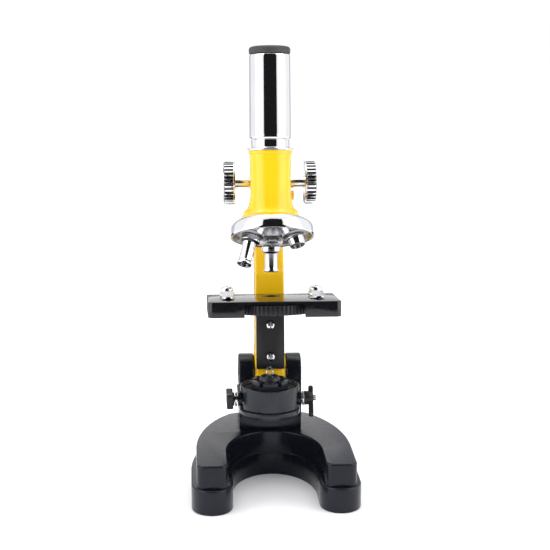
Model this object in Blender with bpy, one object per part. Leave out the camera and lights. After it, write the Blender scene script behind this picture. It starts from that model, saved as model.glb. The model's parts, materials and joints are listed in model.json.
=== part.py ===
"""A child's upright microscope: horseshoe base with a tilting lamp, inclining arm, stage, focusing
tube, zoom eyepiece and a three-objective turret.

Dimensions are in millimetres and are scaled to metres where the meshes are made. X is to the right,
-Y is the front and +Z is up. The arm and all it carries are modelled upright, with the optical axis
on x = y = 0, and an empty at the inclination pivot leans them back by ARM_LEAN.
"""

import math

import bmesh
import bpy
from mathutils import Matrix, Vector

MM = 0.001

# Driving dimensions, in millimetres and degrees
GAP = 0.3
SEAM = 0.000005
ARM_LEAN = 7.0
PIVOT = (0.0, 24.0, 51.5)

BASE_FRONT = -48.5
BASE_REAR = 48.5
FOOT_HEIGHT = 12.5
BASE_HEIGHT = 24.0
FOOT_HALF_WIDTH = 41.5
CHEEK_IN = 8.3
CHEEK_OUT = 16.2
CHEEK_RADIUS = 10.5
CHEEK_FRONT = 14.6

BATTERY_X = 30.5
BATTERY_Z = 7.5
BATTERY_RADIUS = 5.2
BATTERY_LENGTH = 44.5
BAY_FRONT = -40.0
BAY_REAR = 11.0
HOLLOW_FRONT = 15.5
HOLLOW_REAR = 33.5
SCREW_PLACES = ((-30.5, -43.4), (30.5, -43.4), (0.0, 38.0))

LAMP_AXIS = (0.0, -3.0, 45.4)
LAMP_OFFSET = -1.4
LAMP_RADIUS = 15.4
LAMP_FLAT = 13.4
YOKE_HALF_HEIGHT = 2.2
YOKE_EYE = 3.6

STAGE_TOP = 93.9
STAGE_PLATE = 1.5
STAGE_BOTTOM = 86.1
STAGE_HALF_WIDTH = 32.5
STAGE_FRONT = -31.0
STAGE_REAR = 14.3
WHEEL_RADIUS = 20.0
WHEEL_AXIS = (0.0, -11.3, 89.5)
WHEEL_TEETH = 50
WINDOW_RADII = (3.8, 3.2, 2.6, 2.0, 1.4)
CLIP_X = 22.4

SHAFT_AXIS = (0.0, 21.2, 151.0)
KNOB_RADIUS = 11.2
KNOB_SHIFT = 1.2
KNOB_TEETH = 32
PINION_TEETH = 16
GEAR_MODULE = 0.5

TUBE_BORE = 8.3
TUBE_TOP = 167.3
FLARE_BOTTOM = 132.5
FLARE_LEAN = 8.5

TURRET_LEAN = 17.0
APEX_Z = 162.0
TURRET_PLANE = 39.4
TURRET_RADIUS = 21.0
TURRET_TOP = 8.0
OBJECTIVE_TIPS = {"medium": 55.8, "long": 57.9, "short": 48.0}

GEAR_TOOTH = ((-0.4, 0), (-0.2, 1), (0.2, 1), (0.4, 0))
RIDGE = ((0, 1), (0.5, 0))

ROUND = 24
SMALL_ROUND = 12


# ---------------------------------------------------------------- helpers

def material(name, colour, roughness, metallic):
    made = bpy.data.materials.new(name)
    made.use_nodes = True
    shader = made.node_tree.nodes["Principled BSDF"]
    shader.inputs["Base Color"].default_value = (*colour, 1.0)
    shader.inputs["Roughness"].default_value = roughness
    shader.inputs["Metallic"].default_value = metallic
    return made


def empty(name, location, parent=None, lean=0.0):
    made = bpy.data.objects.new(name, None)
    bpy.context.collection.objects.link(made)
    made.location = Vector(location) * MM
    made.rotation_euler.x = -math.radians(lean)
    made.parent = parent
    return made


def solid(name, mesh_maker):
    """An object whose mesh is what mesh_maker draws, in millimetres, made metres and faced outwards."""
    shape = bmesh.new()
    mesh_maker(shape)
    bmesh.ops.recalc_face_normals(shape, faces=shape.faces)
    bmesh.ops.scale(shape, vec=(MM, MM, MM), verts=shape.verts)
    mesh = bpy.data.meshes.new(name)
    shape.to_mesh(mesh)
    shape.free()
    made = bpy.data.objects.new(name, mesh)
    bpy.context.collection.objects.link(made)
    return made


def turned(name, section, segments=ROUND, centre=(0, 0, 0), axis="Z"):
    """Turns a section of (radius, height) points: a ring if it closes off the axis, or else a full body."""
    on_axis = section[0][0] == 0 and section[-1][0] == 0

    def draw(shape):
        rings = []
        for radius, height in section:
            if radius == 0:
                rings.append([shape.verts.new((0, 0, height))])
                continue
            angles = [2 * math.pi * step / segments for step in range(segments)]
            rings.append([shape.verts.new((radius * math.cos(a), radius * math.sin(a), height)) for a in angles])
        pairs = list(zip(rings, rings[1:]))
        if not on_axis:
            pairs.append((rings[-1], rings[0]))
        for lower, upper in pairs:
            for step in range(segments):
                after = (step + 1) % segments
                if len(lower) == 1:
                    shape.faces.new((lower[0], upper[step], upper[after]))
                elif len(upper) == 1:
                    shape.faces.new((lower[step], lower[after], upper[0]))
                else:
                    shape.faces.new((lower[step], lower[after], upper[after], upper[step]))
        turn_to(shape, axis, centre)

    return solid(name, draw)


def turn_to(shape, axis, centre):
    """Lays a shape drawn along Z along the given axis, and moves its zero to centre."""
    turns = {"Z": Matrix(), "X": Matrix.Rotation(math.pi / 2, 4, "Y"), "Y": Matrix.Rotation(-math.pi / 2, 4, "X")}
    bmesh.ops.transform(shape, matrix=Matrix.Translation(centre) @ turns[axis], verts=shape.verts)


def prism(name, outline, low, high, axis="Z", bevel=0.0):
    """Extrudes an outline: (x, y) along Z, (y, z) along X, or (x, z) along Y. The rims can be bevelled."""
    places = {"Z": lambda u, v, w: (u, v, w), "X": lambda u, v, w: (w, u, v), "Y": lambda u, v, w: (u, w, v)}

    def draw(shape):
        floor = [shape.verts.new(places[axis](u, v, low)) for u, v in outline]
        roof = [shape.verts.new(places[axis](u, v, high)) for u, v in outline]
        caps = [shape.faces.new(floor), shape.faces.new(roof)]
        for step in range(len(outline)):
            after = (step + 1) % len(outline)
            shape.faces.new((floor[step], floor[after], roof[after], roof[step]))
        if bevel:
            bmesh.ops.recalc_face_normals(shape, faces=shape.faces)
            rims = [edge for cap in caps for edge in cap.edges]
            bmesh.ops.bevel(shape, geom=rims, offset=bevel, segments=1, profile=0.5, affect="EDGES")

    return solid(name, draw)


def block(name, low, high):
    outline = [(low[0], low[1]), (high[0], low[1]), (high[0], high[1]), (low[0], high[1])]
    return prism(name, outline, low[2], high[2])


def rod(name, radius, low, high, axis="Z", centre=(0, 0, 0), segments=SMALL_ROUND):
    return turned(name, [(0, low), (radius, low), (radius, high), (0, high)], segments, centre, axis)


def tube(name, inner, outer, low, high, axis="Z", centre=(0, 0, 0), segments=SMALL_ROUND):
    section = [(inner, low), (outer, low), (outer, high), (inner, high)]
    return turned(name, section, segments, centre, axis)


def combined(target, tool, operation):
    """Runs one Boolean on the target at once, and deletes the tool."""
    step = target.modifiers.new(operation, "BOOLEAN")
    step.operation = operation
    step.solver = "EXACT"
    step.object = tool
    evaluated = target.evaluated_get(bpy.context.evaluated_depsgraph_get())
    mesh = bpy.data.meshes.new_from_object(evaluated)
    target.modifiers.remove(step)
    welded(mesh)
    target.data = mesh
    bpy.data.objects.remove(tool)
    return target


def welded(mesh):
    """Closes the hairline seams that a Boolean can leave."""
    shape = bmesh.new()
    shape.from_mesh(mesh)
    bmesh.ops.remove_doubles(shape, verts=shape.verts, dist=SEAM)
    bmesh.ops.dissolve_degenerate(shape, edges=shape.edges, dist=SEAM)
    shape.to_mesh(mesh)
    shape.free()


def joined(target, *tools):
    for tool in tools:
        combined(target, tool, "UNION")
    return target


def cut(target, *tools):
    for tool in tools:
        combined(target, tool, "DIFFERENCE")
    return target


def seat(made, finish, parent, frame_zero=(0, 0, 0), origin=(0, 0, 0), shape_turn=None):
    """Gives a piece its finish, puts its origin on its joint's axis and hangs it on its parent."""
    if shape_turn:
        made.data.transform(shape_turn)
    made.data.transform(Matrix.Translation(-Vector(origin) * MM))
    made.data.materials.clear()
    made.data.materials.append(finish)
    made.data.shade_smooth()
    made.data.set_sharp_from_angle(angle=math.radians(35))
    made.location = (Vector(origin) - Vector(frame_zero)) * MM
    made.parent = parent
    return made


def arc(centre, radius, start, end, steps, squash=1.0):
    """Points on an arc, in degrees; squash scales its second coordinate."""
    angles = [math.radians(start + (end - start) * step / steps) for step in range(steps + 1)]
    return [(centre[0] + radius * math.cos(a), centre[1] + radius * squash * math.sin(a)) for a in angles]


def smooth_line(points, steps=4):
    """A Catmull-Rom curve through points, ends included."""
    padded = [points[0], *points, points[-1]]
    line = []
    for before, start, end, beyond in zip(padded, padded[1:], padded[2:], padded[3:]):
        for step in range(steps):
            t = step / steps
            line.append(tuple(
                0.5 * (2 * b + (c - a) * t + (2 * a - 5 * b + 4 * c - d) * t * t + (3 * b - a - 3 * c + d) * t ** 3)
                for a, b, c, d in zip(before, start, end, beyond)))
    return line + [points[-1]]


def toothed(centre, teeth, root, tip, tooth_shape):
    """An outline of teeth around a centre; tooth_shape gives (part of a pitch, height) points of one tooth."""
    pitch = 2 * math.pi / teeth
    outline = []
    for tooth in range(teeth):
        for offset, height in tooth_shape:
            angle = (tooth + offset) * pitch
            radius = root + (tip - root) * height
            outline.append((centre[0] + radius * math.cos(angle), centre[1] + radius * math.sin(angle)))
    return outline


# ---------------------------------------------------------------- base

def horseshoe(inset, inner_inset, rear_inset, corner, front_inset):
    """The plan of the horseshoe, inset from the foot's outline outside, inside its opening and at its toes."""
    half_width = FOOT_HALF_WIDTH - inset
    opening = 21.2 + inner_inset
    front = BASE_FRONT + front_inset
    rear = BASE_REAR - inset
    depth = 72.0 - inset
    inner_depth = 34.0 + rear_inset
    leg = (half_width - opening) / 2
    toe = front + corner
    half = [(0, -22 + inner_depth)]
    half += arc((0, -22), opening, 80, 0, 6, inner_depth / opening)
    half += arc((opening + min(corner, leg), toe), min(corner, leg), 180, 270, 4, corner / min(corner, leg))
    half += arc((half_width - min(corner, leg), toe), min(corner, leg), 270, 360, 4, corner / min(corner, leg))
    last = math.degrees(math.asin((rear + 15) / depth))
    half += arc((0, -15), half_width, 0, last, 8, depth / half_width)
    tidy = [half[0]]
    for point in half[1:]:
        if math.dist(point, tidy[-1]) > 0.2:
            tidy.append(point)
    left = [(-x, y) for x, y in reversed(tidy[1:])]
    return tidy + left


def cheek(side):
    """One of the two upright plates that the arm inclines between."""
    outline = [(CHEEK_FRONT, 30)] + arc(PIVOT[1:], CHEEK_RADIUS, 153, 10, 8) + [(37, 30)]
    low, high = sorted((side * CHEEK_IN, side * CHEEK_OUT))
    return prism("cheek", outline, low, high, "X", bevel=0.5)


def yoke(side):
    """One of the two forks that the lamp tilts in: a bar from the cheek and a round eye."""
    low, high = sorted((side * 13.7 + LAMP_OFFSET, side * (CHEEK_OUT - 0.1) + LAMP_OFFSET))
    _, y, z = LAMP_AXIS
    bar = block("bar", (low + 0.2, y, z - YOKE_HALF_HEIGHT), (high - 0.2, CHEEK_FRONT + 2, z + YOKE_HALF_HEIGHT))
    return bar, rod("eye", YOKE_EYE, low, high, "X", LAMP_AXIS, 18)


def battery_bay(x):
    """The space for one cell: open below, with a half-round roof."""
    half_width = BATTERY_RADIUS + 0.5
    outline = [(x - half_width, -1), (x + half_width, -1)] + arc((x, BATTERY_Z), half_width, 0, 180, 8)
    return prism("bay", outline, BAY_FRONT, BAY_REAR, "Y")


def make_base(finishes):
    foot = prism("base_shell", horseshoe(0, 0, 0, 12, 0), 0, FOOT_HEIGHT)
    top = prism("top", horseshoe(2.6, 2.4, -0.6, 4, 3.4), FOOT_HEIGHT - 1, BASE_HEIGHT, bevel=0.6)
    pedestal_side = CHEEK_OUT - 0.2
    pedestal = block("pedestal", (-pedestal_side, CHEEK_FRONT + 0.7, BASE_HEIGHT - 4), (pedestal_side, 40, 38))
    joined(foot, top, pedestal)
    for side in (-1, 1):
        joined(foot, cheek(side), *yoke(side))
        x = side * BATTERY_X
        cut(foot, battery_bay(x), block("wire_slot", (x - 1.5, BAY_REAR - 1, -1), (x + 1.5, HOLLOW_FRONT + 1, 6)))
        low, high = sorted((side * 14.0, side * 20.0))
        cut(foot, rod("head_well", 5.2, low, high, "X", PIVOT, 18))
    cut(foot, rod("yoke_hole", 1.8, -30, 30, "X", LAMP_AXIS, 12))
    cut(foot, rod("pivot_hole", 2.7, -30, 30, "X", PIVOT))
    hollow = [(-31, HOLLOW_FRONT), (31, HOLLOW_FRONT), (25, HOLLOW_REAR), (-25, HOLLOW_REAR)]
    cut(foot, prism("hollow", hollow, -1, 19.5))
    cut(foot, block("wire_way", (-3, 20, 10), (3, 30, 34)))
    cut(foot, prism("plate_recess", horseshoe(2.0, 2.0, 2.0, 10, 2.0), -1, 2.0))
    for x, y in SCREW_PLACES:
        cut(foot, rod("screw_hole", 1.1, -1, 10, "Z", (x, y, 0), 12))
    return seat(foot, finishes["black"], None)


def make_bottom_plate(finishes):
    plate = prism("bottom_plate", horseshoe(2.4, 2.4, 2.4, 10, 2.4), 0.3, 1.7)
    for x, y in SCREW_PLACES:
        cut(plate, rod("hole", 1.3, -1, 3, "Z", (x, y, 0), 12))
        cut(plate, rod("counterbore", 2.5, -1, 1.1, "Z", (x, y, 0)))
    seat(plate, finishes["black"], None)
    for number, (x, y) in enumerate(SCREW_PLACES, 1):
        section = [(0, 0.3), (2.1, 0.3), (2.1, 0.9), (0.8, 0.9), (0.8, 8), (0, 8)]
        screw = turned(f"base_screw_{number}", section, 12, (x, y, 0))
        cut(screw, block("slot", (x - 0.3, y - 3, 0), (x + 0.3, y + 3, 0.6)))
        seat(screw, finishes["steel"], None)


def make_power(finishes):
    """Two cells in series, nose to tail: each has a plain contact at its nose and a spring at its flat end."""
    for side, word in ((-1, "left"), (1, "right")):
        x = side * BATTERY_X
        middle = (BAY_FRONT + BAY_REAR) / 2
        nose = BAY_REAR - middle - 1.1
        tail = nose - BATTERY_LENGTH
        shoulder = nose - 1.0
        edge = BATTERY_RADIUS - 0.2
        section = [(0, tail), (edge, tail), (BATTERY_RADIUS, tail + 0.4), (BATTERY_RADIUS, shoulder - 0.4),
                   (edge, shoulder), (1.9, shoulder), (1.9, nose), (0, nose)]
        cell = turned(f"battery_{word}", section, SMALL_ROUND, axis="Y")
        plate = block(f"contact_plate_{word}", (-3.8, nose + 0.3, -4.3), (3.8, nose + 0.7, 3.8))
        spring = coil(f"contact_spring_{word}", 3.0, 0.35, 3, middle - BAY_REAR + 0.7, tail - 0.7)
        facing = Matrix.Rotation(math.pi if side > 0 else 0, 4, "Z")
        for made, finish in ((cell, "cell"), (plate, "steel"), (spring, "steel")):
            made.data.transform(Matrix.Translation(Vector((x, middle, BATTERY_Z)) * MM) @ facing)
            seat(made, finishes[finish], None)


def coil(name, radius, wire, turns, low, high):
    """A wire of four flats wound along Y, with flat ends."""
    steps = 10 * turns

    def draw(shape):
        rings = []
        for step in range(steps + 1):
            angle = 2 * math.pi * step * turns / steps
            y = low + (high - low) * step / steps
            ring = []
            for out, along in ((wire, 0), (0, wire), (-wire, 0), (0, -wire)):
                reach = radius + out
                ring.append(shape.verts.new((reach * math.cos(angle), y + along, reach * math.sin(angle))))
            rings.append(ring)
        for lower, upper in zip(rings, rings[1:]):
            for corner in range(4):
                after = (corner + 1) % 4
                shape.faces.new((lower[corner], lower[after], upper[after], upper[corner]))
        shape.faces.new(rings[0])
        shape.faces.new(rings[-1])

    return solid(name, draw)


def make_pivot(finishes):
    x = -CHEEK_OUT + 0.2
    section = [(0, x), (4.6, x), (4.6, x + 1.6), (2.4, x + 1.6), (2.4, CHEEK_OUT - 0.4), (0, CHEEK_OUT - 0.4)]
    bolt = turned("pivot_bolt", section, SMALL_ROUND, PIVOT, "X")
    cut(bolt, block("slot", (x - 1, PIVOT[1] - 6, PIVOT[2] - 0.5), (x + 0.8, PIVOT[1] + 6, PIVOT[2] + 0.5)))
    seat(bolt, finishes["steel"], None, origin=PIVOT)
    nut = prism("pivot_nut", [(PIVOT[1] + y, PIVOT[2] + z) for y, z in arc((0, 0), 4.8, 0, 300, 5)], 14.4, 15.9, "X")
    cut(nut, rod("bore", 2.5, 10, 20, "X", PIVOT))
    seat(nut, finishes["steel"], None, origin=PIVOT)


# ---------------------------------------------------------------- lamp

def make_lamp(finishes):
    pivot = empty("lamp_tilt", (LAMP_OFFSET, *LAMP_AXIS[1:]))
    axis_y = LAMP_AXIS[1]

    def hang(made, finish):
        return seat(made, finishes[finish], pivot, LAMP_AXIS, LAMP_AXIS)

    section = [(0, 41.6), (15.0, 41.6), (15.0, 52.2), (14.5, 52.7), (13.7, 52.7), (13.0, 51.0), (6.0, 51.0),
               (6.0, 44.0), (0, 44.0)]
    housing = turned("lamp_housing", section, ROUND, (0, axis_y, 0))
    for side in (-1, 1):
        low, high = sorted((side * LAMP_FLAT, side * 17))
        cut(housing, block("flat", (low, axis_y - 10, 41), (high, axis_y + 10, 50.0)))
    cut(housing, rod("axle_hole", 1.8, -20, 20, "X", LAMP_AXIS, 12))
    hang(housing, "grey")
    lower = [(0, 37.0), (13.6, 37.0), (LAMP_RADIUS, 38.0), (LAMP_RADIUS, 41.0), (13.2, 41.3), (0, 41.3)]
    hang(turned("lamp_lower_cover", lower, ROUND, (0, axis_y, 0)), "grey")

    collar = tube("lamp_collar", 5.9, 9.4, 51.3, 55.4, "Z", (0, axis_y, 0), 24)
    for step in range(3):
        slot = block("slot", (-12, -1.1, 53.4), (12, 1.1, 58))
        slot.data.transform(Matrix.Translation((0, axis_y * MM, 0)) @ Matrix.Rotation(math.pi * step / 3, 4, "Z"))
        cut(collar, slot)
    hang(collar, "grey")
    holder_section = [(0, 46.5), (5.5, 46.5), (5.5, 55.6), (4.6, 57.2), (2.5, 57.4), (2.5, 53.0), (0, 53.0)]
    hang(turned("bulb_holder", holder_section, 18, (0, axis_y, 0)), "grey")
    bulb_section = [(0, 55.2), (1.9, 55.2), (1.9, 60.0), (1.4, 61.3), (0.7, 62.0), (0, 62.1)]
    hang(turned("lamp_bulb", bulb_section, 12, (0, axis_y, 0)), "glass")
    cap_section = [(0, 53.3), (1.2, 53.3), (2.1, 53.9), (2.1, 54.9), (0, 54.9)]
    hang(turned("bulb_base", cap_section, 12, (0, axis_y, 0)), "brass")

    thumb = rod("lamp_thumb_screw", 1.5, -21.6, -10.5, "X", LAMP_AXIS, 14)
    wing = [(axis_y - 7.2, 41.8), (axis_y - 7.2, 49.0), (axis_y - 5.4, 49.4), (axis_y, 48.0), (axis_y + 5.4, 49.4),
            (axis_y + 7.2, 49.0), (axis_y + 7.2, 41.8), (axis_y, 42.8)]
    joined(thumb, rod("hub", 3.4, -19.6, -17.9, "X", LAMP_AXIS))
    joined(thumb, prism("wing", wing, -21.9, -18.6, "X", bevel=0.5))
    hang(thumb, "black")
    hang(tube("thumb_washer", 1.8, 3.7, -17.6, -16.5, "X", LAMP_AXIS), "steel")

    stud = rod("lamp_stud", 1.5, 10.5, 23.6, "X", LAMP_AXIS, 14)
    hang(stud, "steel")
    hang(tube("stud_washer", 1.8, 3.7, 16.5, 17.2, "X", LAMP_AXIS), "steel")
    nut_pivot = empty("wing_nut_turn", (0, 0, 0), pivot)
    nut = tube("lamp_wing_nut", 1.8, 3.6, 17.5, 22.0, "X", LAMP_AXIS)
    for side, reach in ((-1, 9.6), (1, 6.2)):
        blade = [(-1.9, 2.6), (-2.4, reach - 1.6), (-1.2, reach), (1.2, reach), (2.4, reach - 1.6), (1.9, 2.6)]
        turn = math.radians(12 if side < 0 else 30)
        placed = []
        for y, z in blade:
            placed.append((axis_y + y * math.cos(turn) + side * z * math.sin(turn),
                           LAMP_AXIS[2] - y * math.sin(turn) + side * z * math.cos(turn)))
        joined(nut, prism("blade", placed, 19.8, 22.1, "X", bevel=0.4))
    seat(nut, finishes["black"], nut_pivot, LAMP_AXIS, LAMP_AXIS)


# ---------------------------------------------------------------- arm and stage

def make_arm(finishes, lean):
    front = smooth_line([(14.6, 60), (14.6, 98), (15.6, 107), (18.7, 119)], 3)
    front += [(18.7, 147.3), (12.2, 147.3), (12.2, 164.5), (13.7, 166.0), (25.0, 166.0)]
    back = smooth_line([(31.5, 161), (35.6, 147), (36.4, 133), (34.2, 117), (30.2, 101), (28.2, 85), (30.0, 68)], 3)
    outline = arc(PIVOT[1:], 9.4, 0, -180, 12) + front + back
    arm = prism("arm", outline, -7.5, 7.5, "X", bevel=1.2)
    lobe = arc(PIVOT[1:], 9.0, 5, -185, 10) + [(15.2, 60), (29.0, 66)]
    joined(arm, prism("lobe", lobe, -7.9, 7.9, "X", bevel=0.6))
    head = [(12.25, 147.4), (12.25, 164.4), (13.75, 165.9), (24.9, 165.9), (30.8, 160), (31.0, 147.4)]
    joined(arm, prism("head", head, -9.4, 9.4, "X", bevel=1.0))
    joined(arm, prism("lug", arc((20.5, 144.2), 2.6, 0, 330, 11), 5, 13.2, "X", bevel=0.4))
    cut(arm, block("neck_way", (-3.6, 10, 140), (3.6, 15, 170)))
    cut(arm, block("slide_way", (-4.9, 13.6, 140), (4.9, 18.6, 170)))
    cut(arm, rod("pinion_pocket", 5.2, -3.2, 3.2, "X", SHAFT_AXIS))
    cut(arm, rod("shaft_bore", 2.3, -20, 20, "X", SHAFT_AXIS))
    cut(arm, rod("pivot_bore", 2.7, -20, 20, "X", PIVOT))
    for z in (78.0, 61.6):
        cut(arm, rod("screw_hole", 1.3, 8, 22, "Y", (0, 0, z), 12))
    return seat(arm, finishes["yellow"], lean, PIVOT, PIVOT)


def rounded_plan(half_width, front, rear, corner):
    half = arc((half_width - corner, front + corner), corner, 270, 360, 4) + [(half_width, rear)]
    return half + [(-x, y) for x, y in reversed(half)]


def make_stage(finishes, lean):
    wall = 1.8
    stage = prism("stage", rounded_plan(STAGE_HALF_WIDTH, STAGE_FRONT, STAGE_REAR, 3), STAGE_BOTTOM, STAGE_TOP,
                  bevel=0.3)
    hollow = rounded_plan(STAGE_HALF_WIDTH - wall, STAGE_FRONT + wall, STAGE_REAR - wall, 1.5)
    cut(stage, prism("hollow", hollow, STAGE_BOTTOM - 5, STAGE_TOP - STAGE_PLATE))
    cut(stage, block("front_notch", (-14.8, -40, 80), (14.8, -28, STAGE_TOP - STAGE_PLATE)))
    cut(stage, turned("light_hole", [(0, 80), (4.4, 80), (4.4, 93.2), (5.6, 94.4), (0, 94.4)], 20))
    joined(stage, block("bracket", (-7.2, 11.3, 55.2), (7.2, 14.3, 92.9)))
    joined(stage, rod("wheel_post", 3.0, 92.2, 93.1, "Z", (*WHEEL_AXIS[:2], 0)))
    cut(stage, rod("wheel_hole", 1.2, 80, 93.2, "Z", (*WHEEL_AXIS[:2], 0), 12))
    for z in (78.0, 61.6):
        cut(stage, rod("screw_hole", 1.5, 5, 20, "Y", (0, 0, z), 12))
    for side in (-1, 1):
        cut(stage, rod("clip_hole", 1.4, 80, 95, "Z", (side * CLIP_X, 0, 0), 12))
    seat(stage, finishes["black"], lean, PIVOT, PIVOT)
    for number, z in enumerate((78.0, 61.6), 1):
        section = [(0, 9.1), (1.5, 9.3), (2.3, 10.2), (2.3, 11.0), (1.1, 11.0), (1.1, 21), (0, 21)]
        screw = turned(f"stage_screw_{number}", section, 14, (0, 0, z), "Y")
        cut(screw, block("slot", (-0.3, 5, z - 3), (0.3, 9.7, z + 3)))
        cut(screw, block("slot", (-3, 5, z - 0.3), (3, 9.7, z + 0.3)))
        seat(screw, finishes["steel"], lean, PIVOT, PIVOT)


def make_filter_wheel(finishes, lean):
    """A ridged disc under the stage whose five windows pass over the light hole in turn."""
    spin = empty("filter_wheel_turn", Vector(WHEEL_AXIS) - Vector(PIVOT), lean)
    outline = toothed(WHEEL_AXIS[:2], WHEEL_TEETH, WHEEL_RADIUS - 0.5, WHEEL_RADIUS, RIDGE)
    wheel = prism("filter_wheel", outline, 86.9, 91.9)
    cut(wheel, tube("trough", 4.0, 17.6, 80, 90.3, "Z", (*WHEEL_AXIS[:2], 0), 24))
    for step, radius in enumerate(WINDOW_RADII):
        angle = math.radians(90 + 72 * step)
        reach = -WHEEL_AXIS[1]
        spot = (reach * math.cos(angle), WHEEL_AXIS[1] + reach * math.sin(angle), 0)
        cut(wheel, rod("window", radius, 80, 95, "Z", spot, 12))
    cut(wheel, rod("bore", 1.7, 80, 95, "Z", (*WHEEL_AXIS[:2], 0), 12))
    seat(wheel, finishes["black"], spin, WHEEL_AXIS, WHEEL_AXIS)
    section = [(0, 85.1), (3.2, 85.1), (3.2, 86.5), (1.3, 86.5), (1.3, 91.9), (1.0, 91.9), (1.0, 92.9), (0, 92.9)]
    screw = turned("wheel_screw", section, 12, (*WHEEL_AXIS[:2], 0))
    cut(screw, block("slot", (-0.4, -20, 80), (0.4, 0, 85.7)))
    seat(screw, finishes["steel"], lean, PIVOT, PIVOT)


def make_clips(finishes, lean):
    for side, word in ((-1, "left"), (1, "right")):
        x = side * CLIP_X
        spot = (x, 0, 96.5)
        swing = empty(f"clip_{word}_swing", Vector(spot) - Vector(PIVOT), lean)
        line = smooth_line([(2.6, 96.2), (-3.5, 96.2), (-8, 96.9), (-14, 95.8), (-18.5, 94.4), (-21.5, 95.3)], 3)
        lower = [(y, z - 0.25) for y, z in line]
        upper = [(y, z + 0.25) for y, z in reversed(line)]
        strip = prism("clip_" + word, lower + upper, x - 3.0, x + 3.0, "X")
        joined(strip, rod("eye", 3.9, 95.95, 96.45, "Z", (x, 0, 0), 16))
        cut(strip, rod("bore", 1.6, 90, 98, "Z", (x, 0, 0), 14))
        seat(strip, finishes["steel"], swing, spot, spot)
        section = [(0, 90.4), (1.1, 90.4), (1.1, 94.2), (1.3, 94.2), (1.3, 96.8), (3.3, 96.8), (3.3, 97.8), (2.4, 98.9),
                   (0, 99.2)]
        screw = turned(f"clip_screw_{word}", section, 14, (x, 0, 0))
        cut(screw, block("slot", (x - 0.4, -2, 98.2), (x + 0.4, 2, 100)))
        cut(screw, block("slot", (x - 2, -0.4, 98.2), (x + 2, 0.4, 100)))
        seat(screw, finishes["chrome"], lean, PIVOT, PIVOT)
        seat(tube(f"clip_spacer_{word}", 1.6, 3.9, 94.2, 95.6, "Z", (x, 0, 0)), finishes["chrome"], lean, PIVOT, PIVOT)


# ---------------------------------------------------------------- focus drive

def make_focus_drive(finishes, lean):
    turn = empty("focus_knob_turn", Vector(SHAFT_AXIS) - Vector(PIVOT), lean)

    def hang(made, finish):
        return seat(made, finishes[finish], turn, SHAFT_AXIS, SHAFT_AXIS)

    hang(rod("focus_shaft", 2.0, -22.0, 23.2, "X", SHAFT_AXIS), "steel")
    pitch_radius = PINION_TEETH * GEAR_MODULE / 2
    root = pitch_radius - 1.25 * GEAR_MODULE
    tip = pitch_radius + 0.9 * GEAR_MODULE
    pinion = prism("focus_pinion", toothed(SHAFT_AXIS[1:], PINION_TEETH, root, tip, GEAR_TOOTH), -2.5, 2.5, "X")
    cut(pinion, rod("bore", 2.3, -5, 5, "X", SHAFT_AXIS))
    hang(pinion, "brass")
    for side, word, shift in ((-1, "left", 0), (1, "right", KNOB_SHIFT)):
        low, high = sorted((side * 17.3 + shift, side * 23.1 + shift))
        outline = toothed(SHAFT_AXIS[1:], KNOB_TEETH, KNOB_RADIUS - 0.7, KNOB_RADIUS, RIDGE)
        knob = prism(f"focus_knob_{word}", outline, low, high, "X")
        hub_low, hub_high = sorted((side * 9.8, side * 18.0 + shift))
        joined(knob, rod("hub", 2.9, hub_low, hub_high, "X", SHAFT_AXIS))
        dish_low, dish_high = sorted((side * 22.3 + shift, side * 25 + shift))
        cut(knob, rod("dish", 8.6, dish_low, dish_high, "X", SHAFT_AXIS, 20))
        bore_low, bore_high = sorted((side * 5, side * 22.1 + shift))
        cut(knob, rod("bore", 2.3, bore_low, bore_high, "X", SHAFT_AXIS))
        hang(knob, "chrome")


# ---------------------------------------------------------------- tube and eyepiece

def rack_outline():
    pitch = math.pi * GEAR_MODULE
    root = 16.4
    tip = 17.6
    outline = [(15.5, 139.0), (15.5, 163.0), (root, 163.0)]
    middle = SHAFT_AXIS[2] + pitch * 0.5
    teeth = [middle + pitch * step for step in range(7, -9, -1)]
    for z in teeth:
        if 139.8 < z < 162.2:
            outline += [(root, z + 0.48), (tip, z + 0.18), (tip, z - 0.18), (root, z - 0.48)]
    return outline + [(root, 139.0)]


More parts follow.
